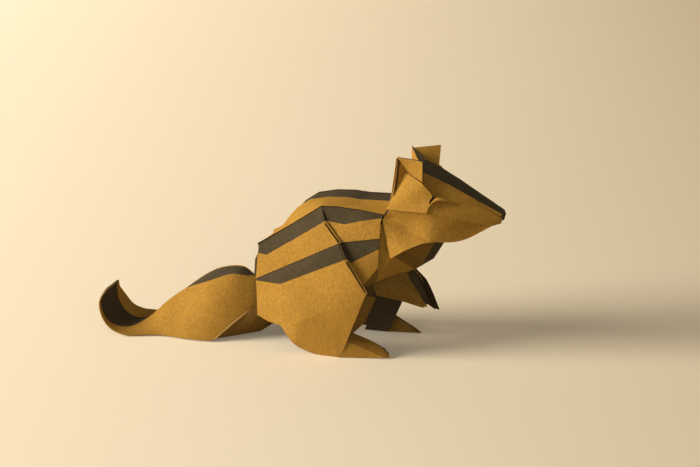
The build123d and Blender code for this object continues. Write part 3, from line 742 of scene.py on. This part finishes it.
def shin(side):
    """Fold turned in from the front edge of the haunch down to the foot.

    The left one is dark between the legs, and comes down inside its foot.
    """
    tip_x, tip_z = HAUNCH_TIP_X, HAUNCH_TIP_Z
    top = (tip_x - 1.2, HAUNCH_HALF - 0.3, tip_z - 1.4)
    if side < 0:
        sheet = Sheet(sided("shin", side), {
            "a": top,
            "b": (tip_x + 1.6, HAUNCH_HALF - 7.0, tip_z - 3.5),
            "c": (tip_x - 2.5, HAUNCH_HALF - 7.0, 12.7),
            "d": (FOOT_X + 3.0, HAUNCH_HALF - 5.0, FOOT_RISE + 0.4),
            "e": (FOOT_X + 2.4, HAUNCH_HALF - 1.1, FOOT_RISE),
        }, side=side)
        # painted shade: the right shin is tan drawn darker, in the shadow of the haunch
        sheet.panel("e a b c d", TAN_PAINTED_SHADE, belly=0.1)
        return sheet.piece(pale=True)
    inside = HAUNCH_HALF - SHIN_IN
    sheet = Sheet(sided("shin", side), {
        "a": top,
        "b": (tip_x + 5.5, inside, tip_z - 6.0),
        "c": (tip_x + 3.6, inside, 12.0),
        "d": (tip_x - 1.5, inside, 0.6),
        "e": (FOOT_X, inside, 0.6),
        "h": (FOOT_X, inside, FOOT_RISE + 2.0),
    }, side=side)
    sheet.panel("e h a b c d", DARK, belly=0.0)
    return sheet.piece()


def foot(side, forward):
    """Wedge of the foot: a side panel with a top panel lapped over it."""
    x = FOOT_X
    toe = FOOT_X + FOOT_REACH + forward
    sheet = Sheet(sided("foot", side), {
        # outer side, with the crease to the top panel
        "heel": (x - 1.2, HAUNCH_HALF - 1.2, 0.25),
        "toe": (toe, HAUNCH_HALF - 5.2, 0.5),
        "g1": (x + 1.2, HAUNCH_HALF - 1.4, FOOT_RISE - 0.3),
        "g2": (toe - 2.0, HAUNCH_HALF - 5.0, 0.9),
        # inner edge of the top panel, and the inner side below it
        "f1": (x + 2.9, HAUNCH_HALF - 7.0, FOOT_RISE),
        "f2": (x + 8.3 + 0.8 * forward, HAUNCH_HALF - 7.5, 0.75 * FOOT_RISE + 0.4 * forward),
        "f3": (toe - 3.7, HAUNCH_HALF - 7.4, 0.46 * FOOT_RISE),
        "f4": (toe - 1.4, HAUNCH_HALF - 6.8, 0.22 * FOOT_RISE),
        "arch": (x - 1.0, HAUNCH_HALF - 7.6, 0.2),
        "mid": (x + 7.0, HAUNCH_HALF - 7.6, 0.2),
        "tip": (toe - 0.4, HAUNCH_HALF - 5.8, 0.2),
    }, side=side)
    sheet.panel("heel g1 g2 toe", TAN, belly=0.1)
    sheet.panel("g1 f1 f2 f3 f4 g2", TAN, LAP, 0.2)
    sheet.panel("f4 toe g2", TAN, belly=0.0)
    # painted shade: the inner side lies in shade and is drawn with the dark umber at the rear and
    # the painted-shade tan at the front
    sheet.panel("f1 arch mid f2", DARK, belly=0.1)
    sheet.panel("f2 mid tip f4 f3", TAN_PAINTED_SHADE, belly=0.1)
    return sheet.piece("f2 f3", shaded=True)


def sole(side, forward):
    """Flat underside of one foot."""
    sheet = Sheet(sided("sole", side), {
        "heel": (FOOT_X - 0.6, HAUNCH_HALF - 2.2, SOLE_Z),
        "toe": (FOOT_X + FOOT_REACH + forward - 1.0, HAUNCH_HALF - 5.6, SOLE_Z),
        "arch": (FOOT_X - 0.6, HAUNCH_HALF - 7.5, SOLE_Z),
    }, side=side)
    sheet.panel("heel toe arch", TAN, belly=0.0)
    return sheet.piece(crumple=0.0)


# The tail, as sections from root to tip. Each has the lower edge of the right panel, the two
# edges of the dark strip on top and the lower edge of the left panel, as distance behind the
# rump, distance to the left and height.
TAIL_SECTIONS = [
    [(-2.4, -5.5, 14.5), (-1.6, -5.0, 24.0), (-1.4, 0.0, 20.0), (-1.5, 11.0, 16.0)],
    [(5.4, -10.2, 10.0), (4.9, -7.2, 23.7), (5.0, 2.0, 21.0), (4.5, 12.0, 10.5)],
    [(16.4, -16.2, 0.0), (10.6, -8.8, 24.3), (12.0, 6.2, 22.9), (16.0, 11.0, 0.3)],
    [(25.6, -17.0, 0.0), (19.1, -9.0, 21.0), (22.0, 6.0, 20.8), (25.0, 8.5, 0.5)],
    [(32.0, -16.2, 0.0), (30.0, -6.2, 15.9), (31.4, 2.5, 14.6), (32.0, 5.0, 1.5)],
    [(37.0, -16.2, 0.3), (37.0, -7.4, 10.6), (38.0, -0.5, 8.2), (39.0, 2.0, 3.2)],
    [(42.5, -18.0, 0.3), (43.0, -9.0, 4.8), (44.0, -3.2, 3.3), (45.0, 0.3, 4.2)],
    [(48.5, -20.4, 0.4), (48.5, -14.0, 1.9), (50.0, -5.0, 2.4), (49.5, 0.0, 4.5)],
    [(54.5, -20.2, 2.0), (54.0, -16.6, 2.5), (54.9, -5.0, 4.7), (54.0, 0.0, 6.2)],
    [(58.8, -18.7, 5.5), (58.4, -16.7, 5.4), (57.2, -6.0, 9.4), (56.4, -1.0, 9.8)],
    [(61.0, -16.6, 10.9), (60.8, -15.6, 10.9), (57.2, -7.2, 13.0), (56.4, -4.5, 13.0)],
    [(59.6, -13.4, 15.0), (59.5, -12.9, 15.0), (56.7, -8.6, 16.0), (56.2, -7.5, 15.8)],
    [(56.4, -9.9, 17.8), (56.3, -9.5, 17.9), (56.1, -9.0, 18.0), (56.0, -8.6, 18.0)],
]


def smooth_rail(points, steps):
    """Points on a smooth curve through the given ones."""
    count = len(points)
    slopes = []
    for i in range(count):
        before, after = points[max(i - 1, 0)], points[min(i + 1, count - 1)]
        slopes.append((after - before) / 6)
    found = []
    for i in range(count - 1):
        run = interpolate_bezier(points[i], points[i] + slopes[i], points[i + 1] - slopes[i + 1],
                                 points[i + 1], steps + 1)
        found += run[:-1]
    return found + [points[-1]]


def tail():
    """Roof-shaped tail that flattens and curls up behind, dark along its top."""
    steps = 5
    corners = {}
    for rail in range(4):
        points = []
        for row in TAIL_SECTIONS:
            back, y, z = row[rail]
            points.append(Vector((RUMP_X - back, y, z)))
        for i, spot in enumerate(smooth_rail(points, steps)):
            corners[f"{rail}.{i}"] = (spot.x, spot.y, max(spot.z, LAP))
    count = (len(TAIL_SECTIONS) - 1) * steps
    sheet = Sheet("tail", corners)
    for rail, finish, lift in ((0, TAN, DEEP_LAP), (1, DARK, 0.2), (2, TAN, DEEP_LAP)):
        for i in range(count):
            j = i + 1
            sheet.panel(f"{rail}.{i} {rail + 1}.{i} {rail + 1}.{j} {rail}.{j}", finish, lift)
    for edge in sheet.bm.edges:
        if len(edge.link_faces) == 2:
            first, second = (sheet.panels[f[sheet.number]] for f in edge.link_faces)
            if first[:2] == second[:2]:
                edge[sheet.fold] = 0
    return sheet.piece(passes=0, crumple=0.2, both=True)


def tail_edge():
    """Cut edge of the tail's near layer, paler than its face, that shows against the flap."""
    steps = 6
    points = []
    for back, y, z in (row[0] for row in TAIL_SECTIONS[:3]):
        points.append(Vector((RUMP_X - back - 0.2, y - 0.7, z + 0.3)))
    run = smooth_rail(points, steps)
    corners = {}
    for i, spot in enumerate(run):
        corners[f"a{i}"] = (spot.x, spot.y, max(spot.z, 0.7))
        corners[f"b{i}"] = (spot.x + 0.55, spot.y, max(spot.z - 0.4, 0.35))
    sheet = Sheet("tail_edge", corners)
    for i in range(len(run) - 1):
        sheet.panel(f"a{i} b{i} b{i + 1} a{i + 1}", TAN + EDGE, belly=0.0)
    return sheet.piece(passes=0, crumple=0.0, wall=0.25, both=True)


def tail_flap():
    """Layer folded back under the root of the tail."""
    x = RUMP_X
    sheet = Sheet("tail_flap", {
        "a": (x + 1.5, -8.6, 15.9),
        "b": (x - 15.8, -15.0, 0.7),
        "c": (x - 1.6, -4.0, 1.5),
        "d": (x + 1.6, 2.0, 3.0),
        "e": (x + 3.0, -8.0, 9.0),
    })
    # painted shade: the folded-under flap is tan drawn darker
    sheet.panel("a b c e", TAN_PAINTED_SHADE, belly=0.2)
    sheet.panel("c d e", TAN_PAINTED_SHADE, belly=0.0)
    return sheet.piece()


# The stage
CAMERA_AZIMUTH = math.radians(17.0)
CAMERA_HEIGHT = math.radians(16.5)
CAMERA_DISTANCE = 0.9
CAMERA_LENS = 126.36
AIM = (18.4, 0.0, 41.4)
CARD_HALF = 4.0  # half width of the card, in metres like the rest of the stage
SWEEP = 0.6  # radius of the turn from the floor up to the backdrop
SWEEP_Y = 1.5  # where that turn begins, behind the figure


def seamless_card():
    """Pale card, evenly matt. To the camera its colour is painted brightest on the left, where the
    light is, and darker to the right: a painted fall-off of the light.
    """
    material = bpy.data.materials.new("seamless_card")
    material.use_nodes = True
    tree = material.node_tree
    tree.nodes.clear()
    turned = node(tree, "ShaderNodeMapping", {"Rotation": (0.0, 0.0, -CAMERA_AZIMUTH)},
                  Vector=node(tree, "ShaderNodeTexCoord").outputs["Object"])
    spot = node(tree, "ShaderNodeSeparateXYZ", Vector=turned.outputs["Vector"])
    # painted light: the card's tone runs from pale on the left to grey-brown on the right
    across = node(tree, "ShaderNodeMapRange", {"From Min": -0.25, "From Max": 0.35},
                  Value=spot.outputs["X"])
    tone = node(tree, "ShaderNodeMix", {"data_type": "RGBA", "blend_type": "MIX"})
    tree.links.new(across.outputs["Result"], tone.inputs[0])
    tone.inputs[6].default_value = linear("#fdf2da")
    tone.inputs[7].default_value = linear("#9c8f7b")
    rays = node(tree, "ShaderNodeLightPath")
    gloss = node(tree, "ShaderNodeMath", {"operation": "ADD"})
    tree.links.new(rays.outputs["Is Camera Ray"], gloss.inputs[0])
    tree.links.new(rays.outputs["Is Glossy Ray"], gloss.inputs[1])
    through = node(tree, "ShaderNodeMath", {"operation": "ADD"})
    tree.links.new(gloss.outputs["Value"], through.inputs[0])
    tree.links.new(rays.outputs["Is Transmission Ray"], through.inputs[1])
    camera_ray = through.outputs["Value"]
    # the camera sees the card half as bright again as its tone, and the paper is lit by a card of
    # one plain tone
    bright = node(tree, "ShaderNodeVectorMath", {"operation": "SCALE", "Scale": 1.5},
                  Vector=tone.outputs[2])
    seen = node(tree, "ShaderNodeMix", {"data_type": "RGBA", "blend_type": "MIX"})
    tree.links.new(camera_ray, seen.inputs[0])
    seen.inputs[6].default_value = linear("#b0a58f")
    tree.links.new(bright.outputs["Vector"], seen.inputs[7])
    matt = node(tree, "ShaderNodeBsdfDiffuse", Color=seen.outputs[2])
    # the glow seen by the camera carries the same painted fall-off of light
    glow = node(tree, "ShaderNodeEmission", Color=tone.outputs[2])
    share = node(tree, "ShaderNodeMath", {"operation": "MULTIPLY"})
    tree.links.new(camera_ray, share.inputs[0])
    share.inputs[1].default_value = 0.16
    tree.links.new(share.outputs["Value"], glow.inputs["Strength"])
    both = node(tree, "ShaderNodeAddShader")
    tree.links.new(matt.outputs["BSDF"], both.inputs[0])
    tree.links.new(glow.outputs["Emission"], both.inputs[1])
    out = node(tree, "ShaderNodeOutputMaterial")
    tree.links.new(both.outputs["Shader"], out.inputs["Surface"])
    return material


def studio():
    """Pale floor that runs up into the backdrop, the two lights and the camera."""
    bm = bmesh.new()
    rail = [(-2.0, 0.0)]
    for turn in (0.0, 0.26, 0.52, 0.79, 1.05, 1.31, 1.57):
        rail.append((SWEEP_Y + SWEEP * math.sin(turn), SWEEP - SWEEP * math.cos(turn)))
    rail.append((SWEEP_Y + SWEEP, 3.0))
    left = [bm.verts.new((-CARD_HALF, y, z)) for y, z in rail]
    for a, b in zip(left, left[1:]):
        bm.edges.new((a, b))
    swept = bmesh.ops.extrude_edge_only(bm, edges=bm.edges[:])
    moved = [g for g in swept["geom"] if isinstance(g, bmesh.types.BMVert)]
    bmesh.ops.translate(bm, verts=moved, vec=(2.0 * CARD_HALF, 0.0, 0.0))
    bmesh.ops.recalc_face_normals(bm, faces=bm.faces[:])
    for face in bm.faces:
        face.smooth = True
    mesh = bpy.data.meshes.new("floor")
    bm.to_mesh(mesh)
    bm.free()
    floor = bpy.data.objects.new("floor", mesh)
    bpy.context.scene.collection.objects.link(floor)
    mesh.materials.append(seamless_card())

    world = bpy.data.worlds.new("room")
    bpy.context.scene.world = world
    world.use_nodes = True
    background = world.node_tree.nodes["Background"]
    background.inputs["Color"].default_value = linear("#f6efe2")
    background.inputs["Strength"].default_value = 0.09

    # a wide window low on the left, and the room's light from the front
    for name, energy, width, toward in (("key", 4.5, 32.0, (-0.82, -0.45, 0.31)),
                                        ("fill", 0.62, 60.0, (0.42, -0.85, 0.24))):
        light = bpy.data.lights.new(name, "SUN")
        light.energy = energy
        light.angle = math.radians(width)
        light.color = linear("#fff4e2")[:3]
        lamp = bpy.data.objects.new(name, light)
        lamp.rotation_mode = "QUATERNION"
        lamp.rotation_quaternion = Vector(toward).to_track_quat("Z", "Y")
        bpy.context.scene.collection.objects.link(lamp)

    level = math.cos(CAMERA_HEIGHT)
    back = Vector((math.sin(CAMERA_AZIMUTH) * level, -math.cos(CAMERA_AZIMUTH) * level,
                   math.sin(CAMERA_HEIGHT)))
    view = bpy.data.cameras.new("camera")
    view.sensor_width = 36.0
    view.lens = CAMERA_LENS
    view.clip_start = 0.01
    camera = bpy.data.objects.new("camera", view)
    camera.rotation_mode = "QUATERNION"
    camera.location = place(*AIM) + back * CAMERA_DISTANCE
    camera.rotation_quaternion = back.to_track_quat("Z", "Y")
    bpy.context.scene.collection.objects.link(camera)
    bpy.context.scene.camera = camera


studio()
body()
head()
nape()
chest()
tail()
tail_edge()
tail_flap()
nose_fold(0.9, -4.9, -3.0)
ear_lining(-1.0)
for side in (-1.0, 1.0):
    rump_fold(side)
    ear_cup(side)
    ear_flap(side)
    eyelid(side)
    eye(side)
    shin(side)
    drop = FAR_ARM_DROP if side > 0 else 0.0
    forward = FAR_FOOT_FORWARD if side > 0 else 0.0
    arm(side, drop)
    cuff(side, drop)
    foot(side, forward)
    sole(side, forward)

bpy.context.scene.view_settings.view_transform = "Standard"
